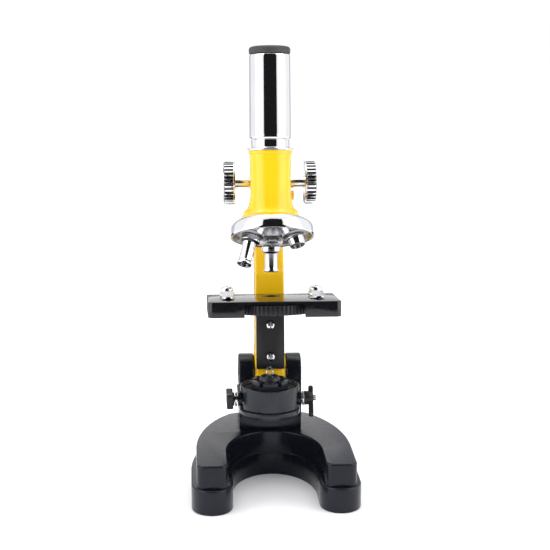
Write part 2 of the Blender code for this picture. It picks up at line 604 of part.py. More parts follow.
def make_tube(finishes, focus):
    section = [(TUBE_BORE, 141), (13.9, 136.6), (13.9, 120), (18.4, 120), (18.4, 129.6)]
    section += [(16.4, 131.2), (15.0, 133.6), (13.3, 136.0), (11.6, 138.8), (10.7, 141.8), (10.2, 146.5)]
    section += [(10.3, 158.0), (10.6, 165.9), (11.1, 166.3), (11.1, TUBE_TOP), (TUBE_BORE, TUBE_TOP)]
    body = turned("body_tube", section, 28)
    below = block("below", (-30, -40, 90), (30, 40, FLARE_BOTTOM))
    hinge = Matrix.Translation((0, 0, FLARE_BOTTOM * MM))
    below.data.transform(hinge @ Matrix.Rotation(-math.radians(FLARE_LEAN), 4, "X") @ hinge.inverted())
    cut(body, below)
    joined(body, block("neck", (-3.3, 9.0, 139.5), (3.3, 14.6, 163.5)))
    joined(body, block("slide", (-4.6, 13.9, 139.5), (4.6, 15.2, 163.5)))
    seat(body, finishes["yellow"], focus, PIVOT, PIVOT)
    rack = prism("focus_rack", rack_outline(), -2.5, 2.5, "X")
    seat(rack, finishes["brass"], focus, PIVOT, PIVOT)
    section = [(7.0, 143), (7.95, 143), (7.95, 167.6), (11.7, 167.6), (11.7, 168.3), (9.7, 168.9), (9.7, 172.7),
               (7.95, 172.7), (7.95, 188), (7.0, 188)]
    seat(turned("draw_tube", section), finishes["chrome"], focus, PIVOT, PIVOT)

    seat_plate = turned("nosepiece_seat", [(4.2, 135.8), (4.2, 110), (13.2, 110), (13.2, 135.8)], ROUND)
    lean_turn = Matrix.Rotation(-math.radians(TURRET_LEAN), 4, "X")
    centre = turret_centre()
    under = block("under", (-30, -40, -60), (30, 40, TURRET_TOP + GAP))
    under.data.transform(Matrix.Translation(Vector(centre) * MM) @ lean_turn)
    cut(seat_plate, under)
    hole = rod("hole", 1.5, -10, 30, segments=12)
    hole.data.transform(Matrix.Translation(Vector(centre) * MM) @ lean_turn)
    cut(seat_plate, hole)
    seat(seat_plate, finishes["chrome"], focus, PIVOT, PIVOT)


def make_eyepiece(finishes, focus):
    zoom = empty("zoom_slide", Vector((0, 0, 173.0)) - Vector(PIVOT), focus)

    def hang(made, finish):
        return seat(made, finishes[finish], zoom, (0, 0, 173.0), (0, 0, 173.0))

    section = [(8.25, 173.0), (10.5, 173.0), (10.6, 173.8), (10.3, 214.0), (10.1, 214.9), (9.0, 214.9), (9.0, 210.0),
               (8.25, 210.0)]
    hang(turned("eyepiece_barrel", section, 28), "chrome")
    cup = [(5.6, 215.2), (10.3, 215.2), (10.35, 217.4), (9.6, 218.4), (7.6, 219.0), (6.4, 218.6), (5.6, 217.8)]
    hang(turned("eyecup", cup, 24), "rubber")
    hang(turned("eye_lens", [(0, 211.6), (6.0, 212.2), (6.0, 213.2), (3.2, 214.2), (0, 214.6)], 20), "glass")
    ring = [(6.3, 210.6), (8.7, 210.6), (8.7, 214.2), (6.3, 214.2)]
    hang(turned("eye_lens_ring", ring, 20), "black")
    hang(turned("field_lens", [(0, 191.0), (5.0, 191.9), (7.6, 192.4), (7.6, 193.4), (0, 193.4)], 20), "glass")
    hang(turned("field_stop", [(4.0, 196), (7.9, 196), (7.9, 197.2), (4.0, 197.2)], 20), "black")


# ---------------------------------------------------------------- turret

def turret_centre():
    """The middle of the turret's rim plane, on an axis that meets the optical axis at the apex."""
    lean = math.radians(TURRET_LEAN)
    return (0.0, -TURRET_PLANE * math.sin(lean), APEX_Z - TURRET_PLANE * math.cos(lean))


def make_turret(finishes, focus):
    centre = turret_centre()
    spin = empty("turret_turn", Vector(centre) - Vector(PIVOT), focus, TURRET_LEAN)
    section = [(2.3, TURRET_TOP), (13.0, TURRET_TOP), (17.6, 7.4), (19.6, 6.2), (20.5, 4.4), (TURRET_RADIUS, 0.2),
               (20.4, -0.4), (19.3, -0.2), (18.0, 2.4), (8.0, 2.4), (6.4, -1.0), (5.2, -1.4), (2.3, -1.4)]
    body = turned("turret", section, 24)
    places = {"medium": 90, "long": 210, "short": 330}

    def slanted(made, azimuth):
        turn = Matrix.Rotation(math.radians(azimuth - 90), 4, "Z") @ Matrix.Rotation(math.radians(TURRET_LEAN), 4, "X")
        made.data.transform(Matrix.Translation((0, 0, TURRET_PLANE * MM)) @ turn)
        return made

    for azimuth in places.values():
        joined(body, slanted(rod("boss", 6.6, -42.6, -36.4, segments=16), azimuth))
    cut(body, block("above", (-30, -30, TURRET_TOP), (30, 30, 30)))
    for azimuth in places.values():
        cut(body, slanted(rod("bore", 3.7, -60, -20, segments=SMALL_ROUND), azimuth))
    cut(body, rod("screw_way", 2.3, -10, 20))
    seat(body, finishes["chrome"], spin)

    for word, azimuth in places.items():
        tip = -OBJECTIVE_TIPS[word]
        profile = [(2.6, -37.5), (2.6, tip), (3.6, tip), (3.7, tip + 0.6), (3.2, tip + 2.4), (3.3, -46.6), (4.7, -45.4),
                   (4.7, -42.9), (3.4, -42.9), (3.4, -37.5)]
        if word == "short":
            profile = [(2.6, -37.5), (2.6, tip), (3.2, tip), (3.8, tip + 0.6), (4.4, -44.2), (4.7, -43.9), (4.7, -42.9),
                       (3.4, -42.9), (3.4, -37.5)]
        barrel = turned(f"objective_{word}", profile, 16)
        seat(slanted(barrel, azimuth), finishes["chrome"], spin)
        lens = turned(f"objective_lens_{word}", [(0, tip + 0.6), (2.3, tip + 0.9), (2.3, tip + 2.0), (0, tip + 2.0)], 12)
        seat(slanted(lens, azimuth), finishes["glass"], spin)
    screw_section = [(0, -3.6), (3.0, -3.6), (3.8, -2.9), (3.8, -1.7), (2.0, -1.7), (2.0, TURRET_TOP), (1.3, TURRET_TOP),
                     (1.3, 12.0), (0, 12.0)]
    screw = turned("turret_screw", screw_section, 14)
    cut(screw, block("slot", (-5, -0.5, -5), (5, 0.5, -2.8)))
    seat(screw, finishes["steel"], spin)


def main():
    for old in list(bpy.data.objects):
        bpy.data.objects.remove(old)
    finishes = {
        "yellow": material("yellow_paint", (0.93, 0.62, 0.02), 0.28, 0.0),
        "black": material("black_plastic", (0.02, 0.02, 0.024), 0.35, 0.0),
        "grey": material("slate_plastic", (0.06, 0.065, 0.08), 0.4, 0.0),
        "rubber": material("eyecup_rubber", (0.045, 0.045, 0.048), 0.6, 0.0),
        "chrome": material("chrome_plate", (0.86, 0.87, 0.88), 0.06, 1.0),
        "steel": material("bright_steel", (0.72, 0.72, 0.74), 0.22, 1.0),
        "brass": material("gear_brass", (0.78, 0.6, 0.25), 0.3, 1.0),
        "glass": material("clear_glass", (0.9, 0.93, 0.96), 0.02, 0.0),
        "cell": material("battery_wrap", (0.12, 0.13, 0.15), 0.4, 0.3),
    }
    make_base(finishes)
    make_bottom_plate(finishes)
    make_power(finishes)
    make_pivot(finishes)
    make_lamp(finishes)
    lean = empty("arm_lean", PIVOT, None, ARM_LEAN)
    make_arm(finishes, lean)
    make_stage(finishes, lean)
    make_filter_wheel(finishes, lean)
    make_clips(finishes, lean)
    make_focus_drive(finishes, lean)
    focus = empty("focus_slide", (0, 0, 0), lean)
    make_tube(finishes, focus)
    make_eyepiece(finishes, focus)
    make_turret(finishes, focus)


main()
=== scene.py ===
"""The looks of a child's upright microscope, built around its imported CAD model.

Pieces are drawn in millimetres in the same upright stand that the CAD uses: the optical axis is
x = y = 0, and STAND leans everything above the base back about the inclination pivot. Each piece
is then baked into metres in the row frame, rides on its CAD body and stands for its CAD nodes.
"""

import json
import math

import bmesh
import bpy
from mathutils import Matrix, Vector


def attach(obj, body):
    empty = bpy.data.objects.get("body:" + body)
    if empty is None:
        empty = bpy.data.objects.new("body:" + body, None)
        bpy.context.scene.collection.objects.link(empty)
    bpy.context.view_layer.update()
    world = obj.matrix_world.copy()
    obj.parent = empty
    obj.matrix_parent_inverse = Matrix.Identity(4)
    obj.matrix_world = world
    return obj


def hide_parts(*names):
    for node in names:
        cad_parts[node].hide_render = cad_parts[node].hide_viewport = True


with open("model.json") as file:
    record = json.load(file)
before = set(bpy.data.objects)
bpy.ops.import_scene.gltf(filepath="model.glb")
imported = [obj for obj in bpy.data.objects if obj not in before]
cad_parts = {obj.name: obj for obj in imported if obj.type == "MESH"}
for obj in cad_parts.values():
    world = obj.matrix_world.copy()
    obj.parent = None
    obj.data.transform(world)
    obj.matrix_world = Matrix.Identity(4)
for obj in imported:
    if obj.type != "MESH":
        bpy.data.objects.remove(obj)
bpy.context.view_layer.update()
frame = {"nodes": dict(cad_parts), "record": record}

MM = 0.001
PIVOT = (0.0, 24.0, 51.5)
ARM_LEAN = 7.0
FOOT_HALF_WIDTH = 41.5
FOOT_HALF_DEPTH = 48.5
OPENING_HALF_WIDTH = 21.2
BATTERY_X = 30.5
LAMP_AXIS = (0.0, -3.0, 45.4)
LAMP_OFFSET = -1.4
LAMP_FLAT = 13.4
SHAFT_AXIS = (0.0, 21.2, 151.0)
RIGHT_KNOB_SHIFT = 1.2
STAGE_BOTTOM = 86.1
STAGE_TOP = 93.9
STAGE_UNDERSIDE = 92.4
STAGE_SCREWS = (78.0, 61.6)
WHEEL_AXIS = (0.0, -11.3, 89.5)
WINDOW_RADII = (3.8, 3.2, 2.6, 2.0, 1.4)
CLIP_X = 22.4
TURRET_SLANT = math.radians(17.0)
APEX_Z = 162.0
TURRET_PLANE = 39.4
OBJECTIVES = {"medium": (90, -55.8), "long": (210, -57.9), "short": (330, -48.0)}

SEAM = 0.005
FINE = 96
SMALL = 40


def about(point, angle, axis):
    """A turn of so many degrees about an axis through a point, in millimetres."""
    turn = Matrix.Rotation(math.radians(angle), 4, axis)
    return Matrix.Translation(point) @ turn @ Matrix.Translation(-Vector(point))


BENCH = Matrix()
LAMP = Matrix.Translation((LAMP_OFFSET, 0, 0))
STAND = about(PIVOT, -ARM_LEAN, "X")
TURRET_CENTRE = Vector((0, -math.sin(TURRET_SLANT), -math.cos(TURRET_SLANT))) * TURRET_PLANE
TURRET_CENTRE.z += APEX_Z
TURRET_SEAT = Matrix.Translation(TURRET_CENTRE) @ Matrix.Rotation(-TURRET_SLANT, 4, "X")
TURRET = STAND @ TURRET_SEAT


# ---------------------------------------------------------------- drawing

def drawn(name, draw):
    """An object whose mesh is what draw puts into a bmesh."""
    shape = bmesh.new()
    draw(shape)
    bmesh.ops.recalc_face_normals(shape, faces=shape.faces)
    mesh = bpy.data.meshes.new(name)
    shape.to_mesh(mesh)
    shape.free()
    made = bpy.data.objects.new(name, mesh)
    bpy.context.collection.objects.link(made)
    return made


def eased(points, radius, closed=True, steps=4):
    """Rounds each corner of a line of points with a short curve that starts radius before it."""
    line = []
    last = len(points) - 1
    for index, corner in enumerate(points):
        if not closed and index in (0, last):
            line.append(tuple(corner))
            continue
        here = Vector(corner)
        back = Vector(points[index - 1]) - here
        ahead = Vector(points[(index + 1) % len(points)]) - here
        reach = min(radius, back.length * 0.45, ahead.length * 0.45)
        start = here + back.normalized() * reach
        end = here + ahead.normalized() * reach
        for step in range(steps + 1):
            t = step / steps
            line.append(tuple(start * (1 - t) ** 2 + here * 2 * t * (1 - t) + end * t * t))
    return line


def turned(name, section, segments=FINE, centre=(0, 0, 0), axis="Z", ease=0.0):
    """Turns a section of (radius, height) points: a full body if its ends are on the axis, else a ring."""
    on_axis = section[0][0] == 0 and section[-1][0] == 0
    if ease:
        section = eased(section, ease, not on_axis)

    def draw(shape):
        rings = []
        for radius, height in section:
            if radius == 0:
                rings.append([shape.verts.new((0, 0, height))])
                continue
            ring = []
            for step in range(segments):
                angle = 2 * math.pi * step / segments
                ring.append(shape.verts.new((radius * math.cos(angle), radius * math.sin(angle), height)))
            rings.append(ring)
        pairs = list(zip(rings, rings[1:]))
        if not on_axis:
            pairs.append((rings[-1], rings[0]))
        for lower, upper in pairs:
            for step in range(segments):
                after = (step + 1) % segments
                corners = [lower[step % len(lower)], lower[after % len(lower)],
                           upper[after % len(upper)], upper[step % len(upper)]]
                shape.faces.new(list(dict.fromkeys(corners)))
        turns = {"Z": Matrix(), "X": Matrix.Rotation(math.pi / 2, 4, "Y"),
                 "Y": Matrix.Rotation(-math.pi / 2, 4, "X")}
        bmesh.ops.transform(shape, matrix=Matrix.Translation(centre) @ turns[axis], verts=shape.verts)

    return drawn(name, draw)


def prism(name, outline, low, high, axis="Z", bevel=0.0, segments=3):
    """Extrudes an outline: (x, y) along Z, (y, z) along X, or (x, z) along Y. The rims can be rounded."""
    places = {"Z": lambda u, v, w: (u, v, w),
              "X": lambda u, v, w: (w, u, v),
              "Y": lambda u, v, w: (u, w, v)}

    def draw(shape):
        floor = [shape.verts.new(places[axis](u, v, low)) for u, v in outline]
        roof = [shape.verts.new(places[axis](u, v, high)) for u, v in outline]
        caps = [shape.faces.new(floor), shape.faces.new(roof)]
        for step in range(len(outline)):
            after = (step + 1) % len(outline)
            shape.faces.new((floor[step], floor[after], roof[after], roof[step]))
        if bevel:
            bmesh.ops.recalc_face_normals(shape, faces=shape.faces)
            rims = [edge for cap in caps for edge in cap.edges]
            bmesh.ops.bevel(shape, geom=rims, offset=bevel, segments=segments, profile=0.5, affect="EDGES")

    return drawn(name, draw)


def block(low, high, bevel=0.0):
    """A box from its low corner to its high one; the bevel is on its top and bottom rims."""
    outline = [(low[0], low[1]), (high[0], low[1]), (high[0], high[1]), (low[0], high[1])]
    return prism("block", outline, low[2], high[2], bevel=bevel)


def rod(radius, low, high, axis="Z", centre=(0, 0, 0), segments=SMALL, ease=0.0):
    """A round bar from low to high along an axis; its rims can be eased."""
    return turned("rod", [(0, low), (radius, low), (radius, high), (0, high)], segments, centre, axis, ease)


def combined(target, tool, operation):
    """Runs one Boolean on the target at once, closes its hairline seams and deletes the tool."""
    step = target.modifiers.new(operation, "BOOLEAN")
    step.operation = operation
    step.solver = "EXACT"
    step.object = tool
    mesh = bpy.data.meshes.new_from_object(target.evaluated_get(bpy.context.evaluated_depsgraph_get()))
    target.modifiers.remove(step)
    shape = bmesh.new()
    shape.from_mesh(mesh)
    bmesh.ops.remove_doubles(shape, verts=shape.verts, dist=SEAM)
    bmesh.ops.dissolve_degenerate(shape, edges=shape.edges, dist=SEAM)
    shape.to_mesh(mesh)
    shape.free()
    target.data = mesh
    bpy.data.objects.remove(tool)
    return target


def joined(target, *tools):
    for tool in tools:
        combined(target, tool, "UNION")
    return target


def cut(target, *tools):
    for tool in tools:
        combined(target, tool, "DIFFERENCE")
    return target


def moved(made, matrix):
    made.data.transform(matrix)
    return made


def arc(centre, radius, start, end, steps, squash=1.0):
    """Points on an arc, in degrees; squash scales its second coordinate."""
    angles = [math.radians(start + (end - start) * step / steps) for step in range(steps + 1)]
    return [(centre[0] + radius * math.cos(a), centre[1] + radius * squash * math.sin(a)) for a in angles]


def smooth_line(points, steps=10):
    """A Catmull-Rom curve through points, ends included."""
    def between(a, b, c, d, t):
        square = 2 * a - 5 * b + 4 * c - d
        cube = 3 * b - a - 3 * c + d
        return 0.5 * (2 * b + (c - a) * t + square * t * t + cube * t ** 3)

    padded = [points[0], *points, points[-1]]
    line = []
    for four in zip(padded, padded[1:], padded[2:], padded[3:]):
        for step in range(steps):
            line.append(tuple(between(*values, step / steps) for values in zip(*four)))
    return line + [points[-1]]


def ridged(centre, count, root, tip, ridge):
    """A closed outline of ridges about a centre; ridge has (part of a pitch, height) points."""
    outline = []
    for index in range(count):
        for offset, height in ridge:
            angle = 2 * math.pi * (index + offset) / count
            radius = root + (tip - root) * height
            outline.append((centre[0] + radius * math.cos(angle), centre[1] + radius * math.sin(angle)))
    return outline


def show(made, body, slot, *nodes, place=STAND, finish=None):
    """Bakes a piece into metres in the row frame, gives it its finish or else its slot's, stands it in for
    its CAD nodes and hands it to its body.
    """
    sharp_corner = math.radians(32)
    moved(made, Matrix.Scale(MM, 4) @ place)
    made.data.materials.clear()
    made.data.materials.append(FINISHES[finish or slot])
    made.data.shade_smooth()
    made.data.set_sharp_from_angle(angle=sharp_corner)
    made.name = nodes[0] + "_look"
    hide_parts(*nodes)
    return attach(made, body)


# ---------------------------------------------------------------- materials

class Finish:
    """A Principled material whose colour, roughness and bump vary over the piece, in millimetres."""

    def __init__(self, name, roughness, metallic=0.0, coat=0.0):
        self.material = bpy.data.materials.new(name)
        self.material.use_nodes = True
        self.tree = self.material.node_tree
        self.shader = self.tree.nodes["Principled BSDF"]
        self.shader.inputs["Roughness"].default_value = roughness
        self.shader.inputs["Metallic"].default_value = metallic
        self.shader.inputs["Coat Weight"].default_value = coat
        self.place = self.tree.nodes.new("ShaderNodeTexCoord").outputs["Object"]
        self.relief = None

    def stretched(self, scale):
        mapping = self.tree.nodes.new("ShaderNodeMapping")
        mapping.inputs["Scale"].default_value = scale
        self.tree.links.new(self.place, mapping.inputs["Vector"])
        return mapping.outputs["Vector"]

    def noise(self, size, detail=3.0, roughness=0.55, place=None):
        """Noise whose features are about size millimetres across."""
        node = self.tree.nodes.new("ShaderNodeTexNoise")
        node.inputs["Scale"].default_value = 1 / (size * MM)
        node.inputs["Detail"].default_value = detail
        node.inputs["Roughness"].default_value = roughness
        self.tree.links.new(place or self.place, node.inputs["Vector"])
        return node.outputs["Fac"]

    def vector(self, operation, value, other):
        """One vector operation on a socket and a constant; lengths and dot products come out as a value."""
        node = self.tree.nodes.new("ShaderNodeVectorMath")
        node.operation = operation
        self.tree.links.new(value, node.inputs[0])
        node.inputs[1].default_value = other
        return node.outputs["Value" if operation in ("LENGTH", "DOT_PRODUCT") else "Vector"]

    def blended(self, mask, socket, low, high):
        """Takes an input of the shader from the value low where the mask is 0 to high where it is 1."""
        self.tree.links.new(self.ranged(mask, low, high, 0.0, 1.0), self.shader.inputs[socket])
        return self

    def ranged(self, value, low, high, start=0.35, end=0.65):
        node = self.tree.nodes.new("ShaderNodeMapRange")
        for socket, number in (("From Min", start), ("From Max", end), ("To Min", low), ("To Max", high)):
            node.inputs[socket].default_value = number
        self.tree.links.new(value, node.inputs["Value"])
        return node.outputs["Result"]

    def colour(self, value, *stops):
        """Base colour from a ramp of (position, colour) stops."""
        node = self.tree.nodes.new("ShaderNodeValToRGB")
        ramp = node.color_ramp
        while len(ramp.elements) < len(stops):
            ramp.elements.new(0.5)
        for element, (position, colour) in zip(ramp.elements, stops):
            element.position = position
            element.color = (*colour, 1.0)
        self.tree.links.new(value, node.inputs["Fac"])
        self.tree.links.new(node.outputs["Color"], self.shader.inputs["Base Color"])
        return self

    def rough(self, value, low, high):
        self.tree.links.new(self.ranged(value, low, high), self.shader.inputs["Roughness"])
        return self

    def bump(self, value, height):
        """Adds a relief of that height, in millimetres, on top of any other."""
        node = self.tree.nodes.new("ShaderNodeBump")
        node.inputs["Strength"].default_value = 1.0
        node.inputs["Distance"].default_value = height * MM
        self.tree.links.new(value, node.inputs["Height"])
        if self.relief:
            self.tree.links.new(self.relief, node.inputs["Normal"])
        self.relief = node.outputs["Normal"]
        self.tree.links.new(self.relief, self.shader.inputs["Normal"])
        return self


def yellow_enamel():
    finish = Finish("yellow_enamel", 0.16, coat=0.35)
    finish.shader.inputs["Coat Roughness"].default_value = 0.05
    finish.shader.inputs["Specular IOR Level"].default_value = 0.35
    finish.colour(finish.noise(9.0), (0.3, (0.88, 0.515, 0.004)), (0.7, (0.92, 0.55, 0.007)))
    finish.rough(finish.noise(1.6, 5.0), 0.13, 0.22)
    finish.bump(finish.noise(0.7, 2.0), 0.006)
    return finish.bump(finish.noise(4.0, 1.0), 0.02).material


def satin_paint():
    finish = Finish("satin_slate_paint", 0.3)
    finish.colour(finish.noise(12.0, 5.0), (0.3, (0.0045, 0.0052, 0.0085)), (0.7, (0.0065, 0.0073, 0.0115)))
    finish.shader.inputs["Specular Tint"].default_value = (0.86, 0.89, 1.0, 1)
    finish.shader.inputs["Specular IOR Level"].default_value = 0.3
    finish.rough(finish.noise(3.0, 6.0), 0.20, 0.28)
    finish.bump(finish.noise(0.25, 2.0), 0.006)
    return finish.bump(finish.noise(1.2, 2.0), 0.01).material


def gloss_black():
    finish = Finish("gloss_black_enamel", 0.1)
    finish.colour(finish.noise(8.0, 4.0), (0.3, (0.004, 0.004, 0.005)), (0.7, (0.007, 0.007, 0.009)))
    height = finish.vector("DOT_PRODUCT", finish.place, (0, 0, 1))
    bracket = finish.ranged(height, 0.0, 0.22, 87 * MM, 84 * MM)
    gloss = finish.tree.nodes.new("ShaderNodeMath")
    finish.tree.links.new(bracket, gloss.inputs[0])
    finish.tree.links.new(finish.ranged(finish.noise(2.0, 6.0), 0.09, 0.18), gloss.inputs[1])
    finish.tree.links.new(gloss.outputs["Value"], finish.shader.inputs["Roughness"])
    return finish.bump(finish.noise(0.8, 2.0), 0.003).material


def moulded(name, low, high, roughness, grain):
    """Moulded plastic: a fine spark-eroded grain, and slow patches where it is polished by handling."""
    finish = Finish(name, roughness)
    finish.shader.inputs["Specular IOR Level"].default_value = 0.3
    finish.colour(finish.noise(10.0, 4.0), (0.3, low), (0.7, high))
    finish.rough(finish.noise(3.0, 5.0), roughness - 0.06, roughness + 0.06)
    return finish.bump(finish.noise(grain, 2.0), 0.012).material


def eyecup_rubber():
    finish = Finish("eyecup_rubber", 0.62)
    finish.colour(finish.noise(6.0, 5.0), (0.3, (0.030, 0.030, 0.031)), (0.7, (0.046, 0.046, 0.048)))
    finish.rough(finish.noise(1.5, 5.0), 0.54, 0.72)
    return finish.bump(finish.noise(0.3, 3.0), 0.02).material


def chrome_plate():
    finish = Finish("chrome_plate", 0.05, metallic=1.0)
    finish.colour(finish.noise(15.0, 3.0), (0.3, (0.80, 0.805, 0.815)), (0.7, (0.87, 0.872, 0.88)))
    finish.rough(finish.noise(2.2, 7.0, 0.7), 0.025, 0.085)
    return finish.bump(finish.noise(6.0, 1.0), 0.003).material


def knurled_plate():
    """The knobs' plating, with painted shade: its colour turns dark in the grooves between the ridges."""
    finish = Finish("knurled_plate", 0.1, metallic=1.0)
    shaft = STAND @ Vector(SHAFT_AXIS) * MM
    across = finish.vector("MULTIPLY", finish.vector("SUBTRACT", finish.place, shaft), (0, 1, 1))
    reach = finish.vector("LENGTH", across, (0, 0, 0))
    # Painted shade: the colour goes dark near the roots of the ridges, by distance from the shaft.
    bright, dark = (0.84, 0.845, 0.855), (0.13, 0.13, 0.14)
    groove_shade = finish.ranged(reach, 0.0, 1.0, 10.0 * MM, 11.2 * MM)
    finish.colour(groove_shade, (0.10, bright), (0.16, dark), (0.58, dark), (0.86, bright))
    finish.rough(finish.noise(1.5, 6.0, 0.7), 0.14, 0.26)
    return finish.bump(finish.noise(2.0, 2.0), 0.004).material


def shaded_plate(name, underside_shade):
    """The turret's plating: polished above, and rougher on the faces that look down, where painted shade
    darkens the colour.
    """
    finish = Finish(name, 0.06, metallic=1.0)
    up = (TURRET.to_3x3() @ Vector((0, 0, 1))).normalized()
    normal = finish.tree.nodes.new("ShaderNodeTexCoord").outputs["Normal"]
    under = finish.ranged(finish.vector("DOT_PRODUCT", normal, up), 0.0, 1.0, -0.15, -0.5)
    # Painted shade: faces that look down take the darker colour underside_shade.
    finish.colour(under, (0.0, (0.84, 0.845, 0.855)), (1.0, (underside_shade, underside_shade, underside_shade * 1.05)))
    finish.bump(finish.noise(0.9, 4.0), 0.01)
    return finish.blended(under, "Roughness", 0.05, 0.32).material


def bright_steel():
    finish = Finish("bright_steel", 0.2, metallic=1.0)
    finish.colour(finish.noise(3.0, 5.0), (0.3, (0.60, 0.60, 0.62)), (0.7, (0.76, 0.76, 0.77)))
    brushing = finish.noise(0.5, 3.0, place=finish.stretched((0.12, 1.0, 1.0)))
    finish.rough(brushing, 0.16, 0.3)
    return finish.bump(brushing, 0.003).material


def gear_brass():
    finish = Finish("gear_brass", 0.28, metallic=1.0)
    finish.colour(finish.noise(2.0, 5.0), (0.3, (0.70, 0.50, 0.19)), (0.7, (0.83, 0.64, 0.29)))
    finish.rough(finish.noise(1.0, 5.0), 0.2, 0.38)
    return finish.bump(finish.noise(0.3, 2.0, place=finish.stretched((1.0, 0.1, 1.0))), 0.004).material


def glass(name, low, high):
    finish = Finish(name, 0.01)
    finish.shader.inputs["Transmission Weight"].default_value = 1.0
    finish.shader.inputs["IOR"].default_value = 1.5
    finish.colour(finish.noise(5.0, 2.0), (0.3, low), (0.7, high))
    return finish.rough(finish.noise(1.5, 5.0), 0.0, 0.03).material


def cell_wrap():
    finish = Finish("cell_wrap", 0.35, metallic=0.3)
    finish.colour(finish.noise(20.0, 3.0), (0.3, (0.10, 0.11, 0.13)), (0.7, (0.15, 0.16, 0.18)))
    finish.rough(finish.noise(1.0, 5.0), 0.3, 0.42)
    return finish.bump(finish.noise(2.0, 2.0), 0.01).material


FINISHES = {
    "base_paint": satin_paint(),
    "plate_plastic": moulded("matt_black_plastic", (0.012, 0.012, 0.014), (0.02, 0.02, 0.022), 0.55, 0.3),
    "yellow_paint": yellow_enamel(),
    "black_paint": gloss_black(),
    "black_plastic": moulded("satin_black_plastic", (0.010, 0.010, 0.012), (0.017, 0.017, 0.019),
                             0.34, 0.35),
    "slate_plastic": moulded("slate_plastic", (0.013, 0.0145, 0.020), (0.018, 0.0205, 0.027), 0.26, 0.3),
    "eyecup_rubber": eyecup_rubber(),
    "chrome_plate": chrome_plate(),
    # knurled_plate paints shade into the grooves of the knobs.
    "knurled_plate": knurled_plate(),
    # The second number is the painted shade on the faces that look down.
    "turret_plate": shaded_plate("turret_plate", 0.28),
    "objective_plate": shaded_plate("objective_plate", 0.05),
    "bright_steel": bright_steel(),
    "gear_brass": gear_brass(),
    "clear_glass": glass("clear_glass", (0.93, 0.96, 0.98), (0.97, 0.985, 1.0)),
    "coated_glass": glass("coated_glass", (0.10, 0.12, 0.16), (0.14, 0.17, 0.22)),
    "battery_wrap": cell_wrap(),
}


def finish_cad_nodes():
    """The nodes that stay as the CAD has them take the same finishes, by their record slots."""
    slots = {entry["node"]: entry["material_slot"] for entry in frame["record"]["subparts"]}
    for name, node in frame["nodes"].items():
        node.data.materials.clear()
        node.data.materials.append(FINISHES[slots[name]])


# ---------------------------------------------------------------- base

def horseshoe(inset, inner_inset, rear_inset, corner, front_inset):
    """The plan of the horseshoe, inset from the foot's outside, its opening, its bend and its toes."""
    half_width = FOOT_HALF_WIDTH - inset
    opening = OPENING_HALF_WIDTH + inner_inset
    rear = FOOT_HALF_DEPTH - inset
    depth = 72.0 - inset
    inner_depth = 34.0 + rear_inset
    bend = min(corner, (half_width - opening) / 2)
    toe = -FOOT_HALF_DEPTH + front_inset + corner
    half = [(0, -22 + inner_depth)]
    half += arc((0, -22), opening, 86, 0, 22, inner_depth / opening)
    half += arc((opening + bend, toe), bend, 180, 270, 12, corner / bend)
    half += arc((half_width - bend, toe), bend, 270, 360, 12, corner / bend)
    last = math.degrees(math.asin((rear + 15) / depth))
    half += arc((0, -15), half_width, 0, last - 3, 26, depth / half_width)
    end = half_width * math.cos(math.radians(last))
    half += arc((end - 3, rear - 3), 3, 40, 90, 4)
    spaced = [half[0]]
    for point in half[1:]:
        if math.dist(point, spaced[-1]) > 0.2:
            spaced.append(point)
    return spaced + [(-x, y) for x, y in reversed(spaced[1:])]


def cheek(side):
    """One of the two upright plates that the arm inclines between."""
    outline = [(14.6, 30)] + arc(PIVOT[1:], 10.5, 153, 10, 28) + [(37, 30)]
    low, high = sorted((side * 8.3, side * 16.2))
    return prism("cheek", outline, low, high, "X", bevel=0.9, segments=4)


def yoke(side):
    """One of the two forks that the lamp tilts in: a bar from the cheek and a round eye."""
    low, high = sorted((side * 13.7 + LAMP_OFFSET, side * 16.1 + LAMP_OFFSET))
    _, y, z = LAMP_AXIS
    bar = block((low + 0.15, y, z - 2.2), (high - 0.15, 16.6, z + 2.2))
    eye = turned("eye", [(0, low), (3.6, low), (3.6, high), (0, high)], SMALL, LAMP_AXIS, "X", 0.35)
    return bar, eye


def battery_bay(x):
    """The space for one cell, with an arched roof and open below."""
    outline = [(x - 5.7, -1), (x + 5.7, -1)] + arc((x, 7.5), 5.7, 0, 180, 20)
    return prism("bay", outline, -40.0, 11.0, "Y")


def make_base():
    foot = prism("foot", horseshoe(0, 0, 0, 12, 0), 0, 12.5, bevel=0.7)
    top = prism("top", horseshoe(2.6, 2.4, -0.6, 4, 3.4), 11.5, 24.0, bevel=0.9, segments=4)
    pedestal = block((-16.0, 15.3, 20), (16.0, 40, 38), bevel=0.8)
    joined(foot, top, pedestal)
    for side in (-1, 1):
        joined(foot, cheek(side), *yoke(side))
        x = side * BATTERY_X
        cut(foot, battery_bay(x), block((x - 1.5, 10, -1), (x + 1.5, 16.5, 6)))
        low, high = sorted((side * 14.0, side * 20.0))
        cut(foot, rod(5.2, low, high, "X", PIVOT, 56))
    cut(foot, rod(1.8, -30, 30, "X", LAMP_AXIS), rod(2.7, -30, 30, "X", PIVOT))
    cut(foot, prism("hollow", [(-31, 15.5), (31, 15.5), (25, 33.5), (-25, 33.5)], -1, 19.5))
    cut(foot, block((-3, 20, 10), (3, 30, 34)))
    cut(foot, prism("recess", horseshoe(2.0, 2.0, 2.0, 10, 2.0), -1, 2.0))
    show(foot, "base", "base_paint", "base_shell", place=BENCH)


